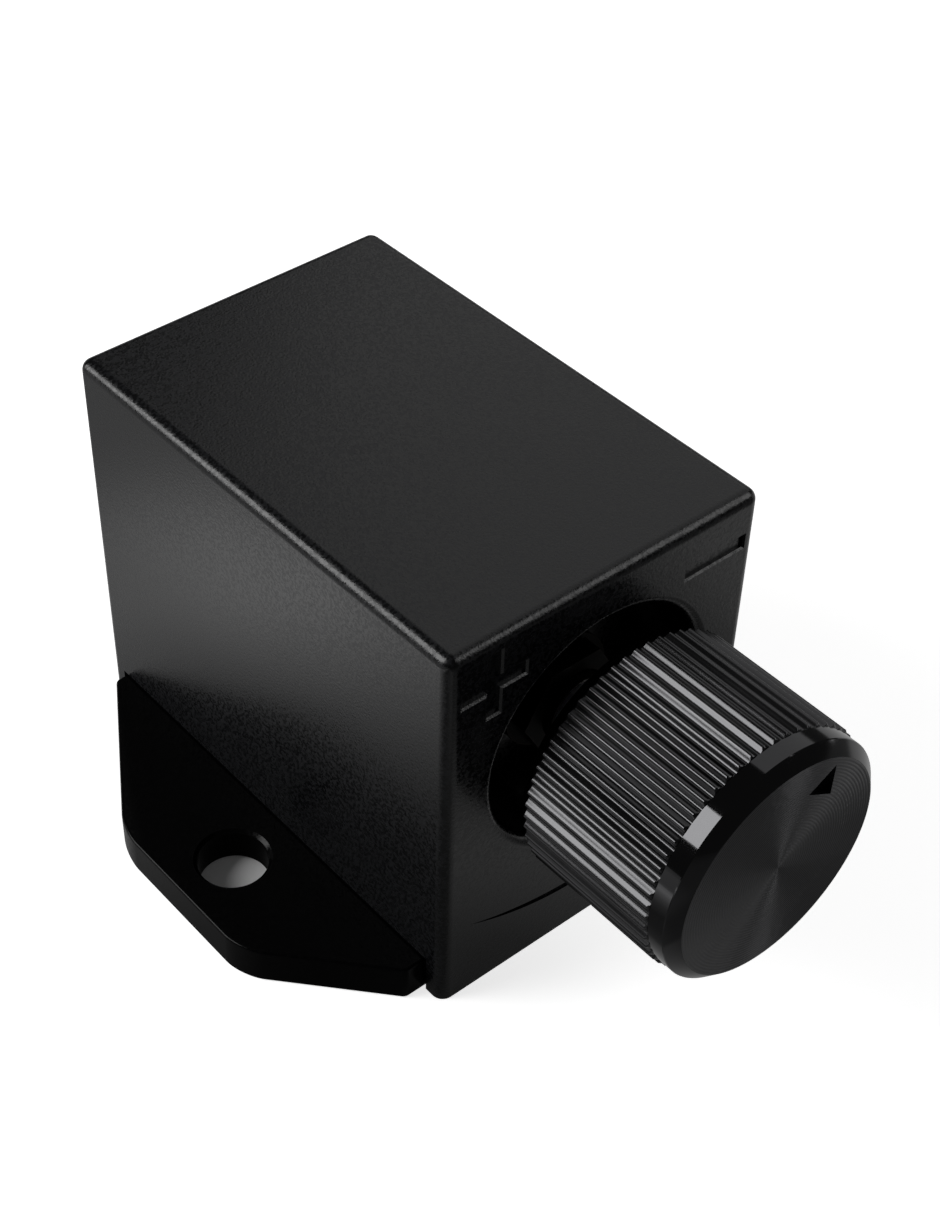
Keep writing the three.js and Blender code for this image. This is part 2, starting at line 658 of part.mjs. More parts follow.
add(enclosure, 'main_board', makeMainBoard(), GREEN_BOARD);
let boardScrews = 0;
for (const x of [-STANDOFF_X, STANDOFF_X]) {
  for (const y of STANDOFF_YS) {
    boardScrews += 1;
    add(enclosure, `board_screw_${boardScrews}`, makeBoardScrew(x, y), BRIGHT_STEEL);
  }
}
add(enclosure, 'microcontroller', makeChip(-2.2, 15, 6, 6), BLACK_PLASTIC);
add(enclosure, 'motion_sensor', makeChip(5.2, 16.2, 3, 3), BLACK_PLASTIC);
add(enclosure, 'heat_spreader', makeHeatSpreader(), BARE_ALUMINIUM);
TRANSISTOR_YS.forEach((y, i) => {
  add(enclosure, `power_transistor_${i + 1}`, makeTransistor(y), BLACK_PLASTIC);
  add(enclosure, `spreader_screw_${i + 1}`, makeSpreaderScrew(y), BRIGHT_STEEL);
});
[27, 36.3].forEach((y, i) => add(enclosure, `filter_capacitor_${i + 1}`, makeCapacitor(y), GREY_PLASTIC));
const relay = roundedBox([-4.8, 4.8], [31.3, 38.9], [ON_BOARD, 23.5], 0.6);
add(enclosure, 'brake_light_relay', relay, BLACK_PLASTIC);
add(control, 'current_shunt', makeShunt(), TINNED_BRASS);
add(enclosure, 'board_link_header', box([-5, 5], [22.3, 24.5], [ON_BOARD, 14.4]), BLACK_PLASTIC);

// ---------------------------------------------------------------- rear connector

const SHROUD_FRONT = 41.6;
const SHROUD_REAR = BODY_LENGTH - GAP;
const SHROUD_HEIGHTS = [ON_BOARD, 21.9];
const PIN_XS = [-5.1, -1.7, 1.7, 5.1];
const PIN_Z = 16.9;
const PIN_HOLE = 1.8;

function makeShroud() {
  const outer = roundedBox([-8.2, 8.2], [SHROUD_FRONT, SHROUD_REAR], SHROUD_HEIGHTS, 0.4);
  const socket = box([-6.9, 6.9], [SHROUD_FRONT + 2, BODY_LENGTH + 1], [13.2, 20.6]);
  const pinHoles = PIN_XS.map((x) => {
    const across = [x - PIN_HOLE / 2, x + PIN_HOLE / 2];
    return box(across, [SHROUD_FRONT - 1, SHROUD_FRONT + 3], [PIN_Z - PIN_HOLE / 2, PIN_Z + PIN_HOLE / 2]);
  });
  return cut(outer, socket, ...pinHoles);
}

function makePin(x) {
  const across = [x - 0.6, x + 0.6];
  const blade = box(across, [39.4, 48.8], [PIN_Z - 0.6, PIN_Z + 0.6]);
  const leg = box(across, [39.4, 40.6], [ON_BOARD, PIN_Z]);
  return join(blade, leg);
}

add(enclosure, 'connector_shroud', makeShroud(), BLACK_PLASTIC);
PIN_XS.forEach((x, i) => add(enclosure, `connector_pin_${i + 1}`, makePin(x), TINNED_BRASS));

export default unit;
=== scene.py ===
# %% [markdown]
# # A dashboard brake controller with a knurled knob
#
# The real object is a small black box that a driver screws under the dashboard. Its housing and its
# flange are moulded in black plastic with a fine, dry grain, and its one control is a black anodised
# aluminium knob: cut with a straight knurl for grip and turned on its face, so that light draws a
# bow tie across it. The functional model already holds every part and every joint. This lesson keeps
# that model as a fixed frame, makes the parts that are seen again in fine detail, and gives each part,
# also the ones inside, the finish of its real material.

# %% Load the frame
import json
import math

import bmesh
import bpy
from mathutils import Matrix, Vector


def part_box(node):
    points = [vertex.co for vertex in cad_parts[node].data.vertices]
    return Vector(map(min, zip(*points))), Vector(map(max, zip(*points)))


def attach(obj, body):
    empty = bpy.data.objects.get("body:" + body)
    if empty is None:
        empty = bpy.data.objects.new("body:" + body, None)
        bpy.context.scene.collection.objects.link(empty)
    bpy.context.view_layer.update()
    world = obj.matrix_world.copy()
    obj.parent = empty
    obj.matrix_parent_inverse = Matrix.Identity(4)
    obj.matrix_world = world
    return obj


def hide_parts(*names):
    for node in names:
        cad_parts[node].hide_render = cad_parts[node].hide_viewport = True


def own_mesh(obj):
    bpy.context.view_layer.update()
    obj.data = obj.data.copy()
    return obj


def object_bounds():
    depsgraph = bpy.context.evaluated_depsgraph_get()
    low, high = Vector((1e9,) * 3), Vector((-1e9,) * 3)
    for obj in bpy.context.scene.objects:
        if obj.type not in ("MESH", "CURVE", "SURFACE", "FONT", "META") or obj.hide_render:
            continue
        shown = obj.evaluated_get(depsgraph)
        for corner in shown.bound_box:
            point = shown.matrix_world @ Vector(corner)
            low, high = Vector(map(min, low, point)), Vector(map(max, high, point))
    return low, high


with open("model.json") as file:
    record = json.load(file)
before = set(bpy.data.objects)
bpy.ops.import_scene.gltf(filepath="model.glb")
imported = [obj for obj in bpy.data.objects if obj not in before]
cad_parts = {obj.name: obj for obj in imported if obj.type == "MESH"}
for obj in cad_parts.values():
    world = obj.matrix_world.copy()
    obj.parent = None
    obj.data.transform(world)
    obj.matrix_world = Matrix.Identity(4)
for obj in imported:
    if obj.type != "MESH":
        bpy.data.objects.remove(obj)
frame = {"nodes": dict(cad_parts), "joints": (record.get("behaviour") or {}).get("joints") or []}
nodes = frame["nodes"]
cad_low, cad_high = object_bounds()
MM = 0.001
print("the model's box in mm:", [round(side / MM, 2) for side in cad_high - cad_low])

# %% [markdown]
# ## Where things are
#
# All places come from the frame. The front wall's outer face, the knob's axis and the flange's top are
# the three references that everything else is measured from. Y runs along the knob's axis, from the
# knob at the front to the socket at the back, and Z points up from the floor.

# %% Reference places
housing_low, housing_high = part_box("housing")
plate_low, plate_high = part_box("base_plate")
knob_low, knob_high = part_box("knob_body")
front = housing_low.y
rear = housing_high.y
turn_joint = next(joint for joint in frame["joints"] if joint["name"] == "knob_turn")
axis_z = turn_joint["pos_m"][2]
wall = 2.2 * MM
ring_pitch = 0.3 * MM
hair = 0.001 * MM
print("front wall at", round(front / MM, 2), "mm, axis at", round(axis_z / MM, 2), "mm")

# %% [markdown]
# ## The camera
#
# A long lens held at arm's length, above and to the left of the knob, looks down over the box. A camera
# in Blender can be aimed with two turns, round Z and up or down, and the small third turn is the roll
# of a camera held by hand. The shift slides the picture on the sensor as cropping does, so the lines
# of the box converge as they did before the crop.

# %% Camera
view_azimuth = math.radians(38.27)
view_drop = math.radians(43.27)
view_roll = math.radians(-0.54)
camera_data = bpy.data.cameras.new("camera")
camera_data.sensor_width = 36
camera_data.lens = 64.3
camera_data.shift_x = 0.0823
camera_data.shift_y = 0.0416
camera = bpy.data.objects.new("camera", camera_data)
bpy.context.scene.collection.objects.link(camera)
aim = Matrix.Rotation(-view_azimuth, 4, "Z") @ Matrix.Rotation(math.pi / 2 - view_drop, 4, "X")
eye = Vector((-99.8 * MM, front - 93.9 * MM, 161.3 * MM))
camera.matrix_world = Matrix.Translation(eye) @ aim @ Matrix.Rotation(view_roll, 4, "Z")
bpy.context.scene.camera = camera
bpy.context.scene.view_settings.view_transform = "Standard"
print("camera at", [round(part / MM) for part in eye], "mm")

# %% [markdown]
# ## A small workshop
#
# Every piece below starts as a bmesh, Blender's editable mesh, and is shaped with the operators that
# one would press in edit mode: create a cube, bevel it, spin a profile, extrude an outline. A hollow is
# cut with a Boolean modifier whose result is kept, and the sharp lip that it leaves is bevelled
# afterwards, as a tool maker breaks the edges of a mould. The helpers here hold the steps that every
# piece shares.

# %% Helpers: solids
def make_piece(bm, name):
    """Turns a bmesh into an object whose faces point outwards."""
    bmesh.ops.remove_doubles(bm, verts=bm.verts, dist=0.0005 * MM)
    bmesh.ops.recalc_face_normals(bm, faces=bm.faces)
    mesh = bpy.data.meshes.new(name)
    bm.to_mesh(mesh)
    bm.free()
    piece = bpy.data.objects.new(name, mesh)
    bpy.context.scene.collection.objects.link(piece)
    return piece


def block(low, high):
    """A plain block between two corners."""
    bm = bmesh.new()
    bmesh.ops.create_cube(bm, size=1)
    low, high = Vector(low), Vector(high)
    bmesh.ops.scale(bm, vec=high - low, verts=bm.verts)
    bmesh.ops.translate(bm, vec=(low + high) / 2, verts=bm.verts)
    return bm


def round_edges(bm, edges, width, segments=4):
    """Rounds edges with a fillet of the given width."""
    bmesh.ops.bevel(
        bm, geom=list(edges), offset=width, offset_type="OFFSET", affect="EDGES",
        segments=segments, profile=0.5, material=-1, clamp_overlap=True,
    )


def spin_profile(profile, steps, centre_x=0.0, centre_other=axis_z, along="Y"):
    """Spins a profile of (radius, place along the axis) points into a closed solid."""
    bm = bmesh.new()
    line = []
    for radius, place in profile:
        if along == "Y":
            line.append(bm.verts.new((centre_x + radius, place, centre_other)))
        else:
            line.append(bm.verts.new((centre_x + radius, centre_other, place)))
    edges = [bm.edges.new(pair) for pair in zip(line, line[1:])]
    if along == "Y":
        centre, axis = Vector((centre_x, 0, centre_other)), Vector((0, 1, 0))
    else:
        centre, axis = Vector((centre_x, centre_other, 0)), Vector((0, 0, 1))
    bmesh.ops.spin(
        bm, geom=line + edges, cent=centre, axis=axis, angle=math.tau, steps=steps, use_merge=True,
    )
    bmesh.ops.remove_doubles(bm, verts=bm.verts, dist=0.0005 * MM)
    bmesh.ops.dissolve_degenerate(bm, edges=bm.edges, dist=0.0001 * MM)
    bmesh.ops.recalc_face_normals(bm, faces=bm.faces)
    return bm


def combine(piece, tools, operation):
    """Joins tools to a piece or cuts them out of it, and keeps the result as plain mesh."""
    for tool in tools:
        modifier = piece.modifiers.new(operation, "BOOLEAN")
        modifier.operation = operation
        modifier.solver = "EXACT"
        modifier.object = tool
    shaped = piece.evaluated_get(bpy.context.evaluated_depsgraph_get())
    mesh = bpy.data.meshes.new_from_object(shaped)
    mesh.name = piece.name
    piece.modifiers.clear()
    piece.data = mesh
    for tool in tools:
        bpy.data.objects.remove(tool)


def edit(piece):
    """A piece's mesh, opened again for editing."""
    bm = bmesh.new()
    bm.from_mesh(piece.data)
    return bm


def finish_piece(piece, material, body, slot, *replaced, sharp_angle=35):
    """Smooths a piece, keeps its flat faces flat, and hands it to the frame."""
    piece.data.materials.clear()
    piece.data.materials.append(material)
    piece.data.shade_smooth()
    piece.data.set_sharp_from_angle(angle=math.radians(sharp_angle))
    weighted = piece.modifiers.new("flat faces stay flat", "WEIGHTED_NORMAL")
    weighted.keep_sharp = True
    weighted.weight = 100
    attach(piece, body)
    if replaced:
        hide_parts(*replaced)
    print(piece.name, "has", len(piece.data.polygons), "faces")
    return piece


# %% [markdown]
# ## Shader groups that several finishes share
#
# Real surfaces differ in what they are made of, but they age and catch light in the same few ways. So
# each of these effects is a node group, made once and placed in many materials with its own values:
# a fine grain pressed into the surface by the mould, the paler and smoother line that handling leaves
# along an edge, which also paints a highlight there, a thin uneven film of dust, and the fine parallel
# scratches of a drawn or turned metal.

# %% Helpers: shader nodes
def new_group(name, inputs, outputs):
    """A shader node group with float or colour sockets."""
    group = bpy.data.node_groups.new(name, "ShaderNodeTree")
    for label, value in inputs:
        kind = "NodeSocketColor" if isinstance(value, tuple) else "NodeSocketFloat"
        socket = group.interface.new_socket(label, in_out="INPUT", socket_type=kind)
        socket.default_value = value
    for label, kind in outputs:
        group.interface.new_socket(label, in_out="OUTPUT", socket_type=kind)
    return group, group.nodes.new("NodeGroupInput"), group.nodes.new("NodeGroupOutput")


def add_node(tree, kind, **settings):
    """A node with its properties set, and its input values where the name is an input's."""
    node = tree.nodes.new(kind)
    for name, value in settings.items():
        if hasattr(node, name):
            setattr(node, name, value)
        else:
            node.inputs[name.replace("_", " ")].default_value = value
    return node


def math_node(tree, operation, first, second=None, clamp=False):
    """A Math node fed by sockets or plain numbers; returns its output."""
    node = tree.nodes.new("ShaderNodeMath")
    node.operation = operation
    node.use_clamp = clamp
    for socket, value in zip(node.inputs, (first, second)):
        if isinstance(value, (int, float)):
            socket.default_value = value
        elif value is not None:
            tree.links.new(value, socket)
    return node.outputs[0]


def map_range(tree, value, start, end, low=0.0, high=1.0):
    """Eases from low to high as value goes from start to end, and stays level beyond."""
    node = tree.nodes.new("ShaderNodeMapRange")
    node.interpolation_type = "SMOOTHSTEP"
    tree.links.new(value, node.inputs["Value"])
    for label, number in (("From Min", start), ("From Max", end), ("To Min", low), ("To Max", high)):
        node.inputs[label].default_value = number
    return node.outputs["Result"]


def length_of(tree, first, second):
    """The length of a flat vector whose two parts are sockets."""
    squares = [math_node(tree, "MULTIPLY", part, part) for part in (first, second)]
    return math_node(tree, "SQRT", math_node(tree, "ADD", *squares))


def noise(tree, size, detail=2.0, stretch=(1, 1, 1), roughness=0.5):
    """Noise whose features are about size metres wide, placed on the object's own coordinates."""
    place = tree.nodes.new("ShaderNodeTexCoord")
    mapping = tree.nodes.new("ShaderNodeMapping")
    mapping.inputs["Scale"].default_value = stretch
    texture = tree.nodes.new("ShaderNodeTexNoise")
    texture.inputs["Scale"].default_value = 0.5 / size
    texture.inputs["Detail"].default_value = detail
    texture.inputs["Roughness"].default_value = roughness
    tree.links.new(place.outputs["Object"], mapping.inputs["Vector"])
    tree.links.new(mapping.outputs["Vector"], texture.inputs["Vector"])
    return texture.outputs["Fac"]


def mix_colour(tree, factor, first, second):
    """Mixes two colours, each a socket or a plain colour."""
    node = tree.nodes.new("ShaderNodeMix")
    node.data_type = "RGBA"
    tree.links.new(factor, node.inputs["Factor"])
    for label, value in (("A", first), ("B", second)):
        socket = next(s for s in node.inputs if s.name == label and s.type == "RGBA")
        if isinstance(value, tuple):
            socket.default_value = value
        else:
            tree.links.new(value, socket)
    return next(s for s in node.outputs if s.type == "RGBA")


# %% Shader group: moulded grain
def make_grain_group():
    """Fine pits of a spark-eroded mould: a height for bump and a slow change of tone."""
    group, entry, result = new_group(
        "moulded grain",
        [("Depth", 1.0)],
        [("Height", "NodeSocketFloat"), ("Tone", "NodeSocketFloat")],
    )
    fine = noise(group, 0.12 * MM, detail=2)
    coarse = noise(group, 0.3 * MM, detail=1)
    pits = math_node(group, "MULTIPLY", coarse, 0.25)
    height = math_node(group, "MULTIPLY", math_node(group, "ADD", fine, pits), entry.outputs["Depth"])
    slow = math_node(group, "MULTIPLY", noise(group, 14 * MM, detail=3), 0.4)
    speckle = map_range(group, noise(group, 0.17 * MM, detail=1), 0.38, 0.62, 0, 0.6)
    tone = math_node(group, "ADD", slow, speckle)
    group.links.new(height, result.inputs["Height"])
    group.links.new(tone, result.inputs["Tone"])
    return group


grain_group = make_grain_group()


# %% Shader group: edge wear and painted edge highlight
def make_wear_and_sheen_group():
    """Wear and a painted highlight along convex edges, broken up by noise. A Bevel node sees where the
    surface turns.
    """
    group, entry, result = new_group(
        "worn edges",
        [("Amount", 1.0)],
        [("Mask", "NodeSocketFloat")],
    )
    bevel = add_node(group, "ShaderNodeBevel", samples=4)
    bevel.inputs["Radius"].default_value = 0.35 * MM
    plain = group.nodes.new("ShaderNodeNewGeometry")
    turn = add_node(group, "ShaderNodeVectorMath", operation="DOT_PRODUCT")
    group.links.new(bevel.outputs["Normal"], turn.inputs[0])
    group.links.new(plain.outputs["Normal"], turn.inputs[1])
    bend = math_node(group, "SUBTRACT", 1.0, turn.outputs["Value"])
    edge = math_node(group, "MULTIPLY", bend, 6.0, clamp=True)
    patchy = math_node(group, "MULTIPLY", edge, noise(group, 1.2 * MM, detail=4))
    mask = math_node(group, "MULTIPLY", patchy, entry.outputs["Amount"], clamp=True)
    group.links.new(mask, result.inputs["Mask"])
    return group


wear_and_sheen_group = make_wear_and_sheen_group()


# %% Shader group: dust
def make_dust_group():
    """A thin uneven film and a few specks, thicker where the surface looks up."""
    group, entry, result = new_group(
        "dust",
        [("Amount", 0.5)],
        [("Mask", "NodeSocketFloat")],
    )
    film = noise(group, 5 * MM, detail=5, roughness=0.65)
    specks = math_node(group, "GREATER_THAN", noise(group, 0.35 * MM, detail=0), 0.74)
    geometry = group.nodes.new("ShaderNodeNewGeometry")
    split = group.nodes.new("ShaderNodeSeparateXYZ")
    group.links.new(geometry.outputs["Normal"], split.inputs["Vector"])
    up = math_node(group, "MULTIPLY", math_node(group, "ADD", split.outputs["Z"], 1.2), 0.45, clamp=True)
    cover = math_node(group, "ADD", math_node(group, "MULTIPLY", film, 0.5), specks)
    settled = math_node(group, "MULTIPLY", cover, up)
    mask = math_node(group, "MULTIPLY", settled, entry.outputs["Amount"], clamp=True)
    group.links.new(mask, result.inputs["Mask"])
    return group


dust_group = make_dust_group()


# %% Shader group: drawn metal
def make_scratch_group():
    """Fine scratches along Y, as drawing, turning or sliding leaves them, and a few deeper ones."""
    group, entry, result = new_group(
        "drawn metal",
        [("Depth", 1.0)],
        [("Height", "NodeSocketFloat"), ("Tone", "NodeSocketFloat")],
    )
    fine = noise(group, 0.06 * MM, detail=2, stretch=(1, 0.03, 1))
    deep = noise(group, 0.4 * MM, detail=1, stretch=(1, 0.08, 1))
    height = math_node(group, "MULTIPLY", math_node(group, "ADD", fine, deep), entry.outputs["Depth"])
    tone = noise(group, 6 * MM, detail=3)
    group.links.new(height, result.inputs["Height"])
    group.links.new(tone, result.inputs["Tone"])
    return group


scratch_group = make_scratch_group()


# %% Shader group: turned rings
def make_rings_group():
    """The fine spiral that a lathe tool leaves, as rings round the knob's axis."""
    group, entry, result = new_group(
        "turned rings",
        [("Depth", 1.0)],
        [("Height", "NodeSocketFloat"), ("Tone", "NodeSocketFloat")],
    )
    split = group.nodes.new("ShaderNodeSeparateXYZ")
    group.links.new(group.nodes.new("ShaderNodeTexCoord").outputs["Object"], split.inputs["Vector"])
    above_axis = math_node(group, "SUBTRACT", split.outputs["Z"], axis_z)
    radius = length_of(group, split.outputs["X"], above_axis)
    wave = math_node(group, "SINE", math_node(group, "MULTIPLY", radius, math.tau / ring_pitch))
    uneven = noise(group, 0.4 * MM, detail=1)
    height = math_node(group, "MULTIPLY", math_node(group, "ADD", wave, uneven), entry.outputs["Depth"])
    group.links.new(height, result.inputs["Height"])
    group.links.new(noise(group, 6 * MM, detail=3), result.inputs["Tone"])
    return group


rings_group = make_rings_group()

# %% [markdown]
# ## One recipe for a finish
#
# Every finish below is a Principled BSDF fed in the same way: the base colour wanders a little with a
# slow tone, goes paler along edges, as wear and as a painted edge highlight, and greyer under dust, the
# roughness follows the same masks, and the surface's own texture goes into a Bump node. What differs
# between the finishes is only their numbers and which texture they press into the bump, so one function
# holds the recipe.

# %% Helper: a finish
def add_group(tree, group, **values):
    """A group node with its inputs set."""
    node = tree.nodes.new("ShaderNodeGroup")
    node.node_tree = group
    for label, value in values.items():
        node.inputs[label].default_value = value
    return node


def make_finish(
    name, colour, roughness, metallic=0.0, texture=grain_group, bump=0.02 * MM,
    wear=0.3, wear_and_sheen_colour=None, dust=0.2, variation=0.25, specular=0.5,
):
    """A Principled material with tone, edge wear with a painted highlight, dust and a textured bump."""
    material = bpy.data.materials.new(name)
    material.use_nodes = True
    tree = material.node_tree
    shader = tree.nodes["Principled BSDF"]
    shader.inputs["Metallic"].default_value = metallic
    shader.inputs["Specular IOR Level"].default_value = specular
    surface = add_group(tree, texture, Depth=1.0)
    sheen_and_worn = add_group(tree, wear_and_sheen_group, Amount=wear)
    dusty = add_group(tree, dust_group, Amount=dust)
    tone = surface.outputs["Tone"]
    pale = wear_and_sheen_colour or tuple(min(1, 2.2 * part + 0.01) for part in colour)
    low = tuple(part * (1 - variation) for part in colour) + (1,)
    high = tuple(min(1, part * (1 + variation)) for part in colour) + (1,)
    plain = mix_colour(tree, tone, low, high)
    # Edges go paler: wear, and a painted edge highlight.
    wear_and_sheen_edged = mix_colour(tree, sheen_and_worn.outputs["Mask"], plain, pale[:3] + (1,))
    dusted = mix_colour(tree, dusty.outputs["Mask"], wear_and_sheen_edged, (0.3, 0.29, 0.28, 1))
    tree.links.new(dusted, shader.inputs["Base Color"])
    wander = math_node(tree, "MULTIPLY", math_node(tree, "SUBTRACT", tone, 0.5), 0.25)
    base = math_node(tree, "ADD", wander, roughness)
    smoother = math_node(tree, "MULTIPLY", sheen_and_worn.outputs["Mask"], -0.25)
    rougher = math_node(tree, "MULTIPLY", dusty.outputs["Mask"], 0.5)
    total = math_node(tree, "ADD", math_node(tree, "ADD", base, smoother), rougher, clamp=True)
    tree.links.new(total, shader.inputs["Roughness"])
    relief = tree.nodes.new("ShaderNodeBump")
    relief.inputs["Distance"].default_value = bump
    tree.links.new(surface.outputs["Height"], relief.inputs["Height"])
    tree.links.new(relief.outputs["Normal"], shader.inputs["Normal"])
    return material


# %% Finishes of the plastics, rubber and boards
textured_plastic = make_finish(
    "textured black plastic", (0.005, 0.0052, 0.006), 0.26, bump=0.02 * MM, wear=0.5,
    wear_and_sheen_colour=(0.03, 0.03, 0.032), dust=0.006, variation=0.8, specular=0.36,
)
# The flange's plastic; it also paints shade inside the housing's recess.
smooth_plastic_and_recess_shade = make_finish(
    "smooth black plastic and recess shade", (0.001, 0.001, 0.0011), 0.18, bump=0.003 * MM, wear=0.3,
    wear_and_sheen_colour=(0.02, 0.02, 0.021), dust=0.002, specular=0.1,
)
grey_plastic = make_finish("grey plastic", (0.07, 0.075, 0.085), 0.45, bump=0.008 * MM, dust=0.02)
seal_rubber = make_finish("seal rubber", (0.006, 0.006, 0.006), 0.8, bump=0.02 * MM, wear=0.1, dust=0.05)
green_board = make_finish(
    "green circuit board", (0.008, 0.085, 0.028), 0.35, bump=0.01 * MM, wear_and_sheen_colour=(0.35, 0.3, 0.14),
    wear=0.6, dust=0.02, variation=0.35,
)
brown_wafer = make_finish(
    "brown paper laminate", (0.15, 0.05, 0.014), 0.55, texture=scratch_group, bump=0.01 * MM,
    wear_and_sheen_colour=(0.33, 0.17, 0.07), wear=0.5, dust=0.03,
)

# %% Finishes of the metals
bright_steel = make_finish(
    "bright zinc steel", (0.5, 0.51, 0.53), 0.3, metallic=1.0, texture=scratch_group,
    bump=0.004 * MM, wear_and_sheen_colour=(0.75, 0.75, 0.76), wear=0.5, dust=0.03, variation=0.12,
)
bare_aluminium = make_finish(
    "bare aluminium", (0.62, 0.63, 0.65), 0.36, metallic=1.0, texture=scratch_group,
    bump=0.005 * MM, wear_and_sheen_colour=(0.85, 0.85, 0.86), wear=0.4, dust=0.03, variation=0.1,
)
tinned_brass = make_finish(
    "tinned brass", (0.66, 0.6, 0.46), 0.28, metallic=1.0, texture=scratch_group,
    bump=0.003 * MM, wear_and_sheen_colour=(0.85, 0.66, 0.3), wear=0.6, dust=0.02, variation=0.12,
)
dark_brass = make_finish(
    "dark plated brass", (0.006, 0.0055, 0.005), 0.45, metallic=1.0, texture=scratch_group,
    bump=0.004 * MM, wear_and_sheen_colour=(0.12, 0.09, 0.05), wear=0.2, dust=0.004, variation=0.2,
)


def anodised(name, roughness, reflectance, texture=scratch_group, bump=0.001 * MM):
    """Black anodised aluminium: a metal whose dyed oxide mirrors only a little of the light."""
    colour = (reflectance, reflectance, reflectance * 1.03)
    return make_finish(
        name, colour, roughness, metallic=1.0, texture=texture, bump=bump,
        wear_and_sheen_colour=(0.2, 0.2, 0.21), wear=0.1, dust=0.004, variation=0.12,
    )


black_anodised = anodised("black anodised aluminium", 0.22, 0.06)
polished_anodised = anodised("polished black anodised aluminium", 0.08, 0.055)
turned_anodised = anodised("turned black anodised aluminium", 0.36, 0.14, rings_group, 0.01 * MM)

# %% [markdown]
# ## The housing
#
# The real housing is one moulding: four walls and a roof, open below, with soft edges where the mould
# was rounded. A block whose edges are bevelled gives the outside. The hollow, the round recess for the
# knob, the plus, the minus and the crescent under the knob are cut into it as the mould's cores would
# leave them, and last the lips of the recess and of the slots for the flange are rounded.

# %% Housing: the moulded block
edge_radius = 1.2 * MM


def make_housing_block():
    """The outside, with its upright edges and the rim of its roof rounded."""
    bm = block(housing_low, housing_high)
    top = housing_high.z
    soft = [e for e in bm.edges if all(abs(v.co.z - top) < hair for v in e.verts)]
    soft += [e for e in bm.edges if abs(e.verts[0].co.z - e.verts[1].co.z) > MM]
    round_edges(bm, set(soft), edge_radius, segments=8)
    return make_piece(bm, "housing_shell")


def cutter(name, low, high, fillet=0.0):
    """A block that cuts a hollow, with its own edges rounded."""
    bm = block(low, high)
    if fillet:
        round_edges(bm, bm.edges[:], fillet, segments=3)
    return make_piece(bm, name)


half_width = housing_high.x
open_below = -5 * MM
inside_front = front + wall
inside_rear = rear - wall
cavity = cutter(
    "cavity",
    (-half_width + wall, inside_front, open_below),
    (half_width - wall, inside_rear, housing_high.z - wall),
    fillet=0.5 * MM,
)
slot_top = 4.3 * MM
ear_slots = cutter(
    "ear_slots",
    (-half_width - wall, inside_front, open_below),
    (half_width + wall, inside_rear, slot_top),
)
housing_shell = make_housing_block()
combine(housing_shell, [cavity, ear_slots], "DIFFERENCE")

# %% [markdown]
# ## Recess, screw bosses and engraved marks
#
# Behind the knob the wall dips into a round cup, so the knob's skirt can sink in as it is pushed. The
# cup is a spun profile joined to the wall, and the recess is a second one cut out of both. The marks
# tell the driver which way the braking grows, with a plus and a minus, and are only pressed 0.4 mm into
# the skin, with a sloping rim that catches the light. The crescent is what two arcs leave between them,
# a wide one and a slightly flatter one.

# %% Housing: cup, bosses and cuts
recess_radius = 12.4 * MM
recess_depth = 6.5 * MM
cup_wall = 1.6 * MM
cup_back = recess_depth + 1.8 * MM
mark_depth = 0.4 * MM
mark_rim = 0.18 * MM
cup = make_piece(
    spin_profile([
        (0, front + wall / 2),
        (recess_radius + cup_wall, front + wall / 2),
        (recess_radius + cup_wall, front + cup_back),
        (0, front + cup_back),
    ], 96), "cup",
)
bosses = []
screw_places = []
boss_bottom, boss_top, boss_reach = 5.4 * MM, 16 * MM, 3 * MM
for index in range(1, 5):
    screw_low, screw_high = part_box(f"cover_screw_{index}")
    place = (screw_low + screw_high) / 2
    screw_places.append(place)
    outer_x = math.copysign(half_width - wall + 0.1 * MM, place.x)
    inner_x = place.x - math.copysign(boss_reach, place.x)
    ahead = place.y < (front + rear) / 2
    outer_y = inside_front - 0.1 * MM if ahead else inside_rear + 0.1 * MM
    inner_y = place.y + (boss_reach if ahead else -boss_reach)
    xs, ys = sorted((outer_x, inner_x)), sorted((outer_y, inner_y))
    boss_low, boss_high = (xs[0], ys[0], boss_bottom), (xs[1], ys[1], boss_top)
    bosses.append(cutter(f"boss_{index}", boss_low, boss_high))
combine(housing_shell, [cup, *bosses], "UNION")

bushing_hole = 3.7 * MM
before_wall = front - 3 * MM
behind_cup = front + cup_back + MM
recess = make_piece(
    spin_profile([
        (0, before_wall),
        (recess_radius, before_wall),
        (recess_radius, front + recess_depth),
        (bushing_hole, front + recess_depth),
        (bushing_hole, behind_cup),
        (0, behind_cup),
    ], 96), "recess",
)
pilots = []
pilot_radius, pilot_start, pilot_end = 1.5 * MM, 4 * MM, 13 * MM
for index, place in enumerate(screw_places):
    profile = [
        (0, pilot_start), (pilot_radius, pilot_start), (pilot_radius, pilot_end), (0, pilot_end),
    ]
    pilots.append(make_piece(spin_profile(profile, 24, place.x, place.y, "Z"), f"pilot_{index}"))
hole_half_width, hole_bottom, hole_top = 8.5 * MM, 11.6 * MM, 22.2 * MM
connector_hole = cutter(
    "connector_hole",
    (-hole_half_width, rear - 4 * MM, hole_bottom),
    (hole_half_width, rear + 4 * MM, hole_top),
)
print("four bosses,", round(recess_depth / MM, 1), "mm of recess and a hole for the socket")
combine(housing_shell, [recess, connector_hole, *pilots], "DIFFERENCE")


# %% Housing: engraved plus, minus and crescent
mark_x, mark_z = 12.7 * MM, 37.9 * MM
mark_length, mark_width = 7 * MM, 1.4 * MM


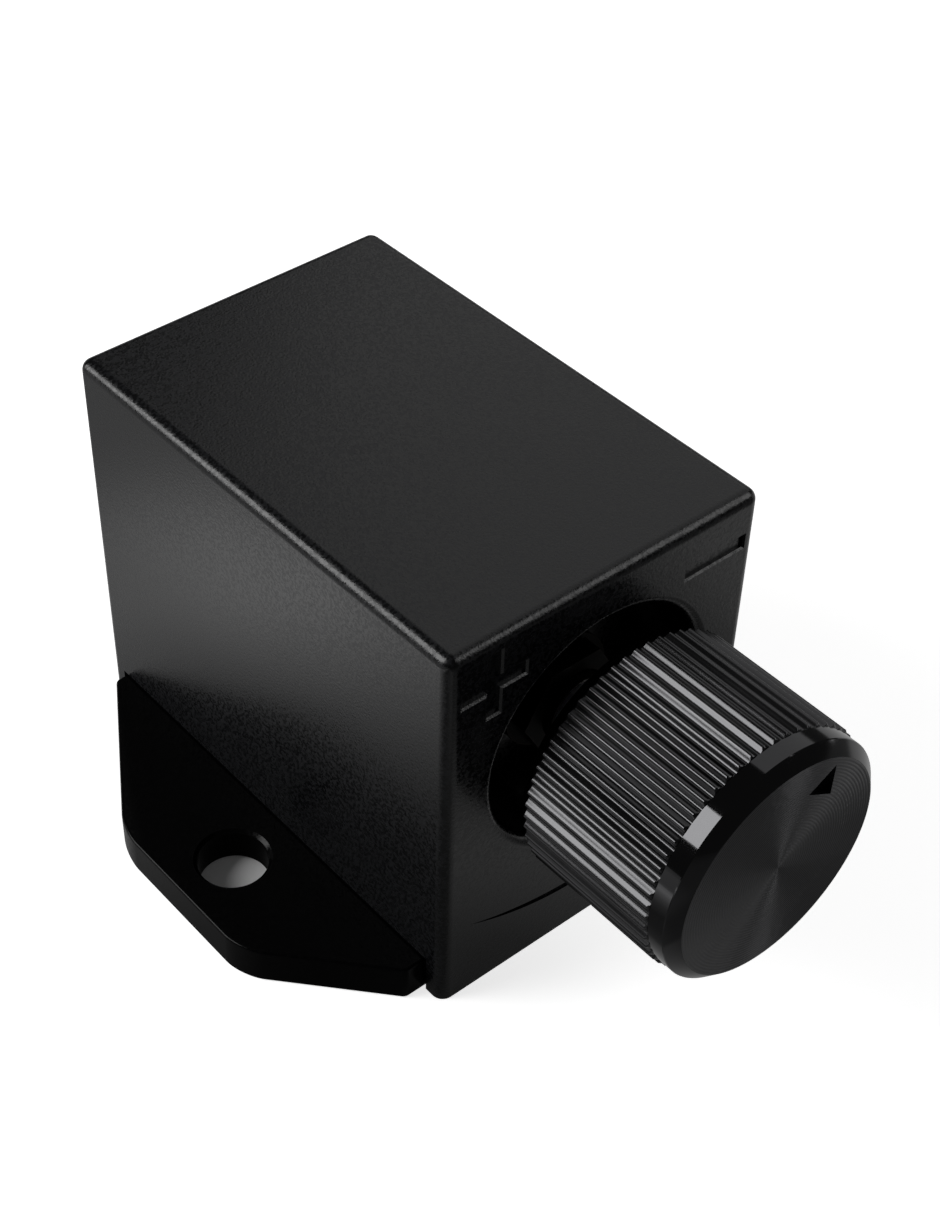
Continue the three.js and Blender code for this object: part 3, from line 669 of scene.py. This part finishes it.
def plus_outline(x, z):
    """Twelve corners, walked round the four arms, at the outer edge of the sloping rim."""
    reach, half = mark_length / 2 + mark_rim, mark_width / 2 + mark_rim
    arm = [(half, half), (half, reach), (-half, reach)]
    points = []
    for c, s in [(1, 0), (0, 1), (-1, 0), (0, -1)]:
        points += [(x + c * u - s * v, z + s * u + c * v) for u, v in arm]
    return points


def minus_outline(x, z):
    """Four corners, at the outer edge of the sloping rim."""
    reach, half = mark_length / 2 + mark_rim, mark_width / 2 + mark_rim
    return [(x - reach, z - half), (x + reach, z - half), (x + reach, z + half), (x - reach, z + half)]


def engraver(name, outline, x, z):
    """Pushes a mark's outline to the wall, down its sloping rim, and on to the mark's floor."""
    bm = bmesh.new()
    corners = [bm.verts.new((u, front - MM, v)) for u, v in outline(x, z)]
    bmesh.ops.contextual_create(bm, geom=corners)
    cap = floor = bm.faces[:]
    past_wall = 0.01 * MM
    steps = ((MM + past_wall, 0), (mark_rim, mark_rim), (mark_depth - mark_rim, 0))
    for depth, shrink in steps:
        pushed = bmesh.ops.extrude_face_region(bm, geom=floor)["geom"]
        if floor is not cap:
            bmesh.ops.delete(bm, geom=floor, context="FACES_ONLY")
        floor = [part for part in pushed if isinstance(part, bmesh.types.BMFace)]
        for vert in (part for part in pushed if isinstance(part, bmesh.types.BMVert)):
            vert.co.y += depth
            vert.co.x -= math.copysign(shrink, vert.co.x - x)
            vert.co.z -= math.copysign(shrink, vert.co.z - z)
    return make_piece(bm, name)


def make_crescent():
    """Two arcs that meet at their tips, drawn as a strip whose lower edge sags further."""
    tip_x, tip_z = 14.6 * MM, 8.9 * MM
    lower_drop, upper_drop = 3.6 * MM, 2.9 * MM
    steps = 48
    bm = bmesh.new()
    bmesh.ops.create_grid(bm, x_segments=steps, y_segments=1, size=1)
    for vert in bm.verts:
        drop = lower_drop if vert.co.y < 0 else upper_drop
        share = vert.co.x * 0.998
        vert.co = Vector((share * tip_x, front - MM, tip_z - drop * (1 - share * share)))
    deep = bmesh.ops.extrude_face_region(bm, geom=bm.faces[:])["geom"]
    moved = [part for part in deep if isinstance(part, bmesh.types.BMVert)]
    bmesh.ops.translate(bm, vec=(0, MM + mark_depth, 0), verts=moved)
    return make_piece(bm, "crescent")


combine(housing_shell, [
    engraver("plus", plus_outline, -mark_x, mark_z),
    engraver("minus", minus_outline, mark_x, mark_z),
    make_crescent(),
], "DIFFERENCE")


# %% Housing: rounded lips
def radius_from_axis(point):
    """How far a point is from the line that the knob turns on."""
    return math.hypot(point.x, point.z - axis_z)


def on_recess_lip(edge):
    """Edges where the front wall turns into the recess."""
    return all(
        abs(v.co.y - front) < hair and abs(radius_from_axis(v.co) - recess_radius) < 0.02 * MM
        for v in edge.verts
    )


def is_slot_lip(edge):
    """Edges where the side walls end above the flange, or stand beside it."""
    outside = all(abs(abs(v.co.x) - half_width) < 0.01 * MM for v in edge.verts)
    low_enough = all(v.co.z < 4.5 * MM for v in edge.verts)
    return outside and low_enough and not edge.is_boundary and edge.calc_face_angle(0) > 1


bm = edit(housing_shell)
recess_lip = 0.85 * MM
round_edges(bm, [e for e in bm.edges if on_recess_lip(e)], recess_lip, segments=6)
round_edges(bm, [e for e in bm.edges if is_slot_lip(e)], 0.25 * MM, segments=2)
bm.to_mesh(housing_shell.data)
bm.free()
finish_piece(housing_shell, textured_plastic, "enclosure", "textured_black_plastic", "housing")
# Painted shade: behind the recess lip the housing's faces take the darker, duller smooth black plastic,
# so the recess reads black.
housing_shell.data.materials.append(smooth_plastic_and_recess_shade)
for face in housing_shell.data.polygons:
    behind_lip = front + recess_lip + 0.05 * MM < face.center.y < front + cup_back + 0.1 * MM
    if behind_lip and radius_from_axis(face.center) < recess_radius + 0.1 * MM:
        face.material_index = 1

# %% [markdown]
# ## The flange plate
#
# The base is a flat plate with one ear on each side, each with a hole for a screw. It starts as a flat
# outline, whose corners are bevelled as vertices, and is then extruded up and given a small fillet.
# Four posts carry the circuit board, and four countersunk holes take the screws of the housing.

# %% Flange plate: outline
plate_thickness = 4 * MM
ear_reach = plate_high.x
outline = [  # x, y and corner radius of the right half, from the front to the back
    (19.9 * MM, plate_low.y, 0.8 * MM),
    (ear_reach, front + 14.1 * MM, 6 * MM),
    (ear_reach, front + 33.4 * MM, 8 * MM),
    (19.0 * MM, plate_high.y, 0.8 * MM),
]


def make_plate():
    """The outline's corners are rounded one by one, then the sheet is extruded."""
    bm = bmesh.new()
    corners = outline + [(-x, y, radius) for x, y, radius in reversed(outline)]
    verts = [bm.verts.new((x, y, 0)) for x, y, radius in corners]
    bmesh.ops.contextual_create(bm, geom=verts)
    for vert, (x, y, radius) in zip(verts, corners):
        before, after = (e.other_vert(vert).co - vert.co for e in vert.link_edges)
        reach = radius / math.tan(before.angle(after) / 2)
        bmesh.ops.bevel(
            bm, geom=[vert], offset=reach, offset_type="OFFSET", affect="VERTICES",
            segments=10, profile=0.5, material=-1,
        )
    raised = bmesh.ops.extrude_face_region(bm, geom=bm.faces[:])["geom"]
    moved = [part for part in raised if isinstance(part, bmesh.types.BMVert)]
    bmesh.ops.translate(bm, vec=(0, 0, plate_thickness), verts=moved)
    bmesh.ops.recalc_face_normals(bm, faces=bm.faces)
    rims = [e for e in bm.edges if abs(e.verts[0].co.z - e.verts[1].co.z) < hair]
    round_edges(bm, rims, 0.3 * MM, segments=3)
    return make_piece(bm, "flange_plate")


flange_plate = make_plate()

# %% Flange plate: posts and holes
ear_hole_radius = 3.5 * MM
ear_hole_x, ear_hole_y = 24.1 * MM, front + 23.7 * MM
posts, holes = [], []
post_foot, post_top, post_radius, post_taper = 3.5 * MM, 9.7 * MM, 2.7 * MM, 0.2 * MM
bore_bottom, bore_top, bore_radius = 4.2 * MM, 11 * MM, 1.3 * MM
post = [(0, post_foot), (post_radius, post_foot), (post_radius - post_taper, post_top), (0, post_top)]
bore = [(0, bore_bottom), (bore_radius, bore_bottom), (bore_radius, bore_top), (0, bore_top)]
for index in range(1, 5):
    screw_low, screw_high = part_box(f"board_screw_{index}")
    place = (screw_low + screw_high) / 2
    posts.append(make_piece(spin_profile(post, 32, place.x, place.y, "Z"), f"post_{index}"))
    holes.append(make_piece(spin_profile(bore, 24, place.x, place.y, "Z"), f"bore_{index}"))
lip = 0.35 * MM
below_plate, above_plate = -MM, plate_thickness + MM
ear_hole = [
    (0, below_plate), (ear_hole_radius + lip, below_plate), (ear_hole_radius + lip, 0),
    (ear_hole_radius, lip), (ear_hole_radius, plate_thickness - lip),
    (ear_hole_radius + lip, plate_thickness), (ear_hole_radius + lip, above_plate), (0, above_plate),
]
for side in (-1, 1):
    holes.append(make_piece(
        spin_profile(ear_hole, 72, side * ear_hole_x, ear_hole_y, "Z"), f"ear_hole_{side}",
    ))
head_radius, shank_radius = 3.3 * MM, 1.6 * MM
head_rim = 0.4 * MM
sink = [
    (0, below_plate), (head_radius, below_plate), (head_radius, head_rim),
    (shank_radius, head_rim + head_radius - shank_radius), (shank_radius, above_plate), (0, above_plate),
]
for index, place in enumerate(screw_places):
    holes.append(make_piece(spin_profile(sink, 40, place.x, place.y, "Z"), f"sink_{index}"))
combine(flange_plate, posts, "UNION")
combine(flange_plate, holes, "DIFFERENCE")
finish_piece(flange_plate, smooth_plastic_and_recess_shade, "enclosure", "black_plastic", "base_plate")

# %% [markdown]
# ## The knob
#
# The knob is turned from bar on a lathe, so it is one spun profile: a pole at the middle of the face,
# the face, a chamfer, a plain band, the knurled stretch, a collar and the hollow behind. The knurl comes
# last, as on the real knob: twelve corners to a tooth are spun, and a smooth wave presses the ones
# between two teeth inwards. A small triangular pocket is milled near the rim as the pointer.

# %% Knob: sizes
teeth = 58
corners_per_tooth = 12
knob_radius = 12.5 * MM
face_y = knob_low.y
back_y = knob_high.y
chamfer_y = face_y + 1.05 * MM
knurl_front = face_y + 2.8 * MM
knurl_back = back_y - 1.1 * MM
face_radius = 11.1 * MM
band_radius = 12.2 * MM
groove_depth = 0.42 * MM
collar_radius, collar_end_radius = 12 * MM, 11.4 * MM
hollow_radius, hollow_floor = 10.7 * MM, face_y + 12.6 * MM
hub_radius, core_radius, core_floor = 6.9 * MM, 5.3 * MM, face_y + 3.9 * MM


# %% Knob: the turned profile
def knob_profile():
    """From the middle of the face, over the outside, to the bottom of the bore."""
    return [
        (0, face_y),
        (face_radius / 2, face_y),
        (face_radius - 0.05 * MM, face_y),
        (face_radius + 0.03 * MM, face_y + 0.05 * MM),
        (band_radius - 0.04 * MM, chamfer_y - 0.06 * MM),
        (band_radius, chamfer_y + 0.04 * MM),
        (band_radius, knurl_front - 0.04 * MM),
        (knob_radius - 0.18 * MM, knurl_front),
        (knob_radius, knurl_front + 0.18 * MM),
        (knob_radius, (knurl_front + knurl_back) / 2),
        (knob_radius, knurl_back - 0.25 * MM),
        (collar_radius + 0.05 * MM, knurl_back),
        (collar_radius, knurl_back + 0.05 * MM),
        (collar_end_radius, back_y),
        (hollow_radius, back_y),
        (hollow_radius, hollow_floor),
        (hub_radius, hollow_floor),
        (hub_radius, back_y),
        (core_radius, back_y),
        (core_radius, core_floor),
        (0, core_floor),
    ]


def press_knurl(bm):
    """Presses the grooves in as a smooth wave, so each tooth has a round crest and a round root."""
    for vert in bm.verts:
        radius = radius_from_axis(vert.co)
        in_knurl = knurl_front - 0.01 * MM < vert.co.y < knurl_back + 0.01 * MM
        if not in_knurl or radius < knob_radius - groove_depth:
            continue
        angle = math.atan2(vert.co.z - axis_z, vert.co.x)
        depth = groove_depth * (1 - math.cos(teeth * angle)) / 2
        new_radius = min(radius, knob_radius - depth)
        vert.co.x = new_radius * math.cos(angle)
        vert.co.z = axis_z + new_radius * math.sin(angle)


bm = spin_profile(knob_profile(), teeth * corners_per_tooth)
press_knurl(bm)
knob = make_piece(bm, "knurled_knob")

# %% Knob: the pointer pocket
pointer_angle = math.radians(59)
pointer_radius = 8.35 * MM
pointer_size = 1.95 * MM
pocket_depth = 0.8 * MM


def make_pointer_pocket():
    """A three-sided prism whose tip looks outwards."""
    bm = bmesh.new()
    corners = bmesh.ops.create_cone(
        bm, segments=3, radius1=pointer_size, radius2=pointer_size, depth=2 * pocket_depth, cap_ends=True,
    )["verts"]
    tip = corners[0].co
    tip_angle = math.atan2(tip.y, tip.x)
    bmesh.ops.rotate(bm, cent=(0, 0, 0), matrix=Matrix.Rotation(-tip_angle, 3, "Z"), verts=bm.verts)
    bmesh.ops.translate(bm, vec=(pointer_radius, 0, 0), verts=bm.verts)
    bmesh.ops.rotate(bm, cent=(0, 0, 0), matrix=Matrix.Rotation(pointer_angle, 3, "Z"), verts=bm.verts)
    bmesh.ops.rotate(bm, cent=(0, 0, 0), matrix=Matrix.Rotation(math.pi / 2, 3, "X"), verts=bm.verts)
    bmesh.ops.translate(bm, vec=(0, face_y, axis_z), verts=bm.verts)
    return make_piece(bm, "pointer_pocket")


combine(knob, [make_pointer_pocket()], "DIFFERENCE")
finish_piece(knob, black_anodised, "knob", "black_anodised_aluminium", "knob_body", sharp_angle=40)

# %% [markdown]
# ## Three cuts of the same metal
#
# The knurl is left as it was cut, the band and the chamfer are polished, and the face shows the rings of
# the last cut. Rings scatter light only across themselves, so the face gets an anisotropic highlight
# that is drawn out along the radius, which makes the bow tie. The rings are too fine for geometry: they
# are bump.

# %% Knob: three cuts of the same metal
def spread_outwards(material):
    """Draws highlights out along the radius, across the rings that the lathe tool left."""
    tree = material.node_tree
    place = tree.nodes.new("ShaderNodeTexCoord")
    outwards = add_node(tree, "ShaderNodeVectorMath", operation="SUBTRACT")
    outwards.inputs[1].default_value = (0, 0, axis_z)
    tree.links.new(place.outputs["Object"], outwards.inputs[0])
    shader = tree.nodes["Principled BSDF"]
    shader.inputs["Anisotropic"].default_value = 0.97
    tree.links.new(outwards.outputs["Vector"], shader.inputs["Tangent"])


spread_outwards(turned_anodised)
polished_index, turned_index = 1, 2
knob.data.materials.append(polished_anodised)
knob.data.materials.append(turned_anodised)
bm = edit(knob)
for face in bm.faces:
    centre = face.calc_center_median()
    from_axis = radius_from_axis(centre)
    if face.normal.y < -0.9 and centre.y < knurl_front and from_axis < face_radius:
        face.material_index = turned_index
    elif centre.y < knurl_front - 0.03 * MM and from_axis > face_radius - 0.2 * MM:
        face.material_index = polished_index
for edge in bm.edges:
    on_rim = any(face.material_index for face in edge.link_faces)
    if on_rim and edge.calc_face_angle(0) > math.radians(14):
        edge.smooth = False
bm.to_mesh(knob.data)
bm.free()
print("the knob has", len(knob.data.materials), "cuts and", teeth, "teeth")

# %% [markdown]
# ## The return spring
#
# A coil of steel wire pushes the switch plunger back after the driver lets go. The functional model only
# needs the sleeve that it fills. The coil itself is one circle of edges, spun four times round the knob's
# axis while it moves along it, with its two open ends filled. The real coil shortens as the plunger comes
# in; this one keeps its rest length.

# %% Return spring: a spun circle
coil_turns = 4
steps_per_turn = 32
wire_radius = 0.28 * MM


def make_return_spring():
    """A helix between the two ends of the sleeve that it stands for."""
    low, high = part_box("return_spring")
    start = Vector((high.x - wire_radius, low.y + wire_radius, axis_z))
    rise = high.y - low.y - 2 * wire_radius
    steps = coil_turns * steps_per_turn
    bm = bmesh.new()
    bmesh.ops.create_circle(bm, segments=12, radius=wire_radius)
    bmesh.ops.translate(bm, vec=start, verts=bm.verts)
    bmesh.ops.spin(
        bm, geom=bm.verts[:] + bm.edges[:], cent=(0, 0, axis_z), axis=(0, 1, 0),
        dvec=(0, rise / steps, 0), angle=coil_turns * math.tau, steps=steps,
    )
    bmesh.ops.holes_fill(bm, edges=[e for e in bm.edges if e.is_boundary])
    return make_piece(bm, "coiled_return_spring"), high.y


spring, fixed_end = make_return_spring()
finish_piece(spring, bright_steel, "enclosure", "bright_steel", "return_spring", sharp_angle=60)
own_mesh(spring)

# %% [markdown]
# ## Finishes for the pieces that keep their shape
#
# The parts inside already have their true shape, so they only trade their plain colour for a finish.
# The record says which material each one is made of, and that name picks the finish.

# %% Give every kept part its finish
finishes = {
    "textured_black_plastic": textured_plastic,
    "black_anodised_aluminium": black_anodised,
    "seal_rubber": seal_rubber,
    "bright_steel": bright_steel,
    "grey_plastic": grey_plastic,
    "dark_plated_brass": dark_brass,
    "bare_aluminium": bare_aluminium,
    "brown_laminate": brown_wafer,
    "tinned_brass": tinned_brass,
    "green_laminate": green_board,
    "black_plastic": smooth_plastic_and_recess_shade,
}
shown = {name: node for name, node in nodes.items() if not node.hide_render}
for name, node in shown.items():
    for index, slot in enumerate(node.material_slots):
        slot_name = slot.material.name.split(".")[0]
        if slot_name in finishes:
            node.material_slots[index].material = finishes[slot_name]
        else:
            print("no finish for", name, slot_name)
print(len(shown), "kept parts got a finish")

# %% [markdown]
# ## The studio
#
# The unit stands on a pale sheet in soft light: white all round, brighter above and behind, darker on
# the side of the viewer, so that its black faces are drawn by what they mirror. The floor is a disc so
# wide that its rim is never seen. The sheet glows: the camera sees it plain white, and what it mirrors
# into the unit is painted light and painted shade, a soft pattern of pale and dark bands in its glow.

# %% Floor
def make_floor_material():
    """Glows white to the camera, and in painted bands of light and shade for the glossy faces on it."""
    material = bpy.data.materials.new("pale sheet")
    material.use_nodes = True
    tree = material.node_tree
    shader = tree.nodes["Principled BSDF"]
    shader.inputs["Roughness"].default_value = 0.9
    shader.inputs["Specular IOR Level"].default_value = 0.1
    shader.inputs["Emission Strength"].default_value = 1
    seen = tree.nodes.new("ShaderNodeLightPath").outputs["Is Camera Ray"]
    split = tree.nodes.new("ShaderNodeSeparateXYZ")
    tree.links.new(tree.nodes.new("ShaderNodeTexCoord").outputs["Object"], split.inputs["Vector"])
    x, y = split.outputs["X"], split.outputs["Y"]
    # Painted light and shade: the glow that the unit mirrors rises and falls in bands across the floor.
    backwards = math_node(tree, "MULTIPLY", y, 0.8)
    reach = math_node(tree, "ADD", backwards, math_node(tree, "MULTIPLY", x, -0.6))
    ramp = tree.nodes.new("ShaderNodeValToRGB")
    levels = [(0.1, 0.05), (0.3, 0.12), (0.37, 0.3), (0.44, 0.12), (0.56, 0.04), (0.64, 0.14),
              (0.7, 0.3), (0.77, 0.55), (0.84, 0.9), (0.92, 0.75), (1.0, 0.25)]
    for position, level in levels[2:]:
        ramp.color_ramp.elements.new(position)
    for element, (position, level) in zip(ramp.color_ramp.elements, levels):
        element.position = position
        element.color = (level, level, level, 1)
    share = math_node(tree, "ADD", math_node(tree, "DIVIDE", reach, 160 * MM), 0.5)
    tree.links.new(share, ramp.inputs["Fac"])
    # Painted shadow: close to the left wall the floor's glow is dimmed, where the unit would shade it.
    beside_wall = map_range(tree, x, -44 * MM, -26 * MM, 1.25, 0.5)
    past_wall = map_range(tree, x, -19 * MM, -17 * MM, 0, 0.5)
    painted_wall_shadow = math_node(tree, "ADD", beside_wall, past_wall)
    left = math_node(tree, "MULTIPLY", ramp.outputs["Color"], painted_wall_shadow)
    # Painted light: a pale patch in the floor's glow, out to the right of the unit.
    right = map_range(tree, x, 30 * MM, 50 * MM)
    painted_light_patch = math_node(tree, "MULTIPLY", right, map_range(tree, y, -78 * MM, -56 * MM, 0.1, 1))
    painted_reflection_bands = mix_colour(tree, painted_light_patch, left, (0.42, 0.42, 0.42, 1))
    glow = mix_colour(tree, seen, painted_reflection_bands, (0.75, 0.75, 0.75, 1))
    # Painted shadow: under the two ear holes the floor's glow is almost black, to the camera as well.
    from_hole_x = math_node(tree, "SUBTRACT", math_node(tree, "ABSOLUTE", x), ear_hole_x)
    from_hole_y = math_node(tree, "SUBTRACT", y, ear_hole_y)
    from_hole = length_of(tree, from_hole_x, from_hole_y)
    painted_hole_shadow = map_range(tree, from_hole, 4.5 * MM, 6.1 * MM, 1, 0)
    glow_with_painted_shadows = mix_colour(tree, painted_hole_shadow, glow, (0.02, 0.02, 0.02, 1))
    tree.links.new(glow_with_painted_shadows, shader.inputs["Emission Color"])
    # Painted shade: the sheet's own colour is pale to the camera and dark to all other rays.
    paper = mix_colour(tree, seen, (0.1, 0.1, 0.1, 1), (0.9, 0.9, 0.9, 1))
    tree.links.new(paper, shader.inputs["Base Color"])
    return material


def make_floor():
    """A wide sheet. The camera sees it plain white, and the unit mirrors its painted glow, darker towards
    the viewer.
    """
    bm = bmesh.new()
    bmesh.ops.create_circle(bm, cap_ends=True, segments=96, radius=3.0)
    floor = make_piece(bm, "floor")
    floor.data.materials.append(make_floor_material())
    return floor


make_floor()
print("the floor lies at z = 0")


# %% Lights
def softbox(name, direction, distance, width, height, radiance, tilt=0):
    """A rectangular light that looks at the unit from a direction, as bright as radiance."""
    place = middle + Vector(direction).normalized() * distance
    data = bpy.data.lights.new(name, "AREA")
    data.shape = "RECTANGLE"
    data.size, data.size_y = width, height
    data.energy = radiance * math.pi * width * height
    light = bpy.data.objects.new(name, data)
    light.visible_camera = False
    look = (middle - place).to_track_quat("-Z", "Y").to_matrix().to_4x4()
    light.matrix_world = Matrix.Translation(place) @ look @ Matrix.Rotation(math.radians(tilt), 4, "Z")
    bpy.context.scene.collection.objects.link(light)
    return light


middle = (cad_low + cad_high) / 2
softbox("overhead_light", (0.67, 0.33, 0.68), 0.9, 0.85, 0.8, 0.58)
softbox("key_light", (-0.69, 0.52, 0.5), 0.6, 0.26, 0.5, 6.0, tilt=-35)
softbox("window", (0.6, -0.5, 0.6), 0.8, 0.4, 0.4, 2.4)
softbox("low_light", (0.95, -0.25, -0.02), 0.7, 0.3, 0.12, 1.6)

print("four softboxes round", [round(part / MM, 1) for part in middle], "mm")

# %% Surroundings
def make_surroundings():
    """A dim room that is only seen as a pale wall when the camera looks straight at it."""
    world = bpy.data.worlds.new("studio")
    world.use_nodes = True
    tree = world.node_tree
    dim = tree.nodes["Background"]
    dim.inputs["Color"].default_value = (1, 1, 1, 1)
    dim.inputs["Strength"].default_value = 0.05
    pale = tree.nodes.new("ShaderNodeBackground")
    pale.inputs["Color"].default_value = (1, 1, 1, 1)
    path = tree.nodes.new("ShaderNodeLightPath")
    mix = tree.nodes.new("ShaderNodeMixShader")
    tree.links.new(path.outputs["Is Camera Ray"], mix.inputs["Fac"])
    tree.links.new(dim.outputs["Background"], mix.inputs[1])
    tree.links.new(pale.outputs["Background"], mix.inputs[2])
    tree.links.new(mix.outputs["Shader"], tree.nodes["World Output"].inputs["Surface"])
    bpy.context.scene.world = world


make_surroundings()
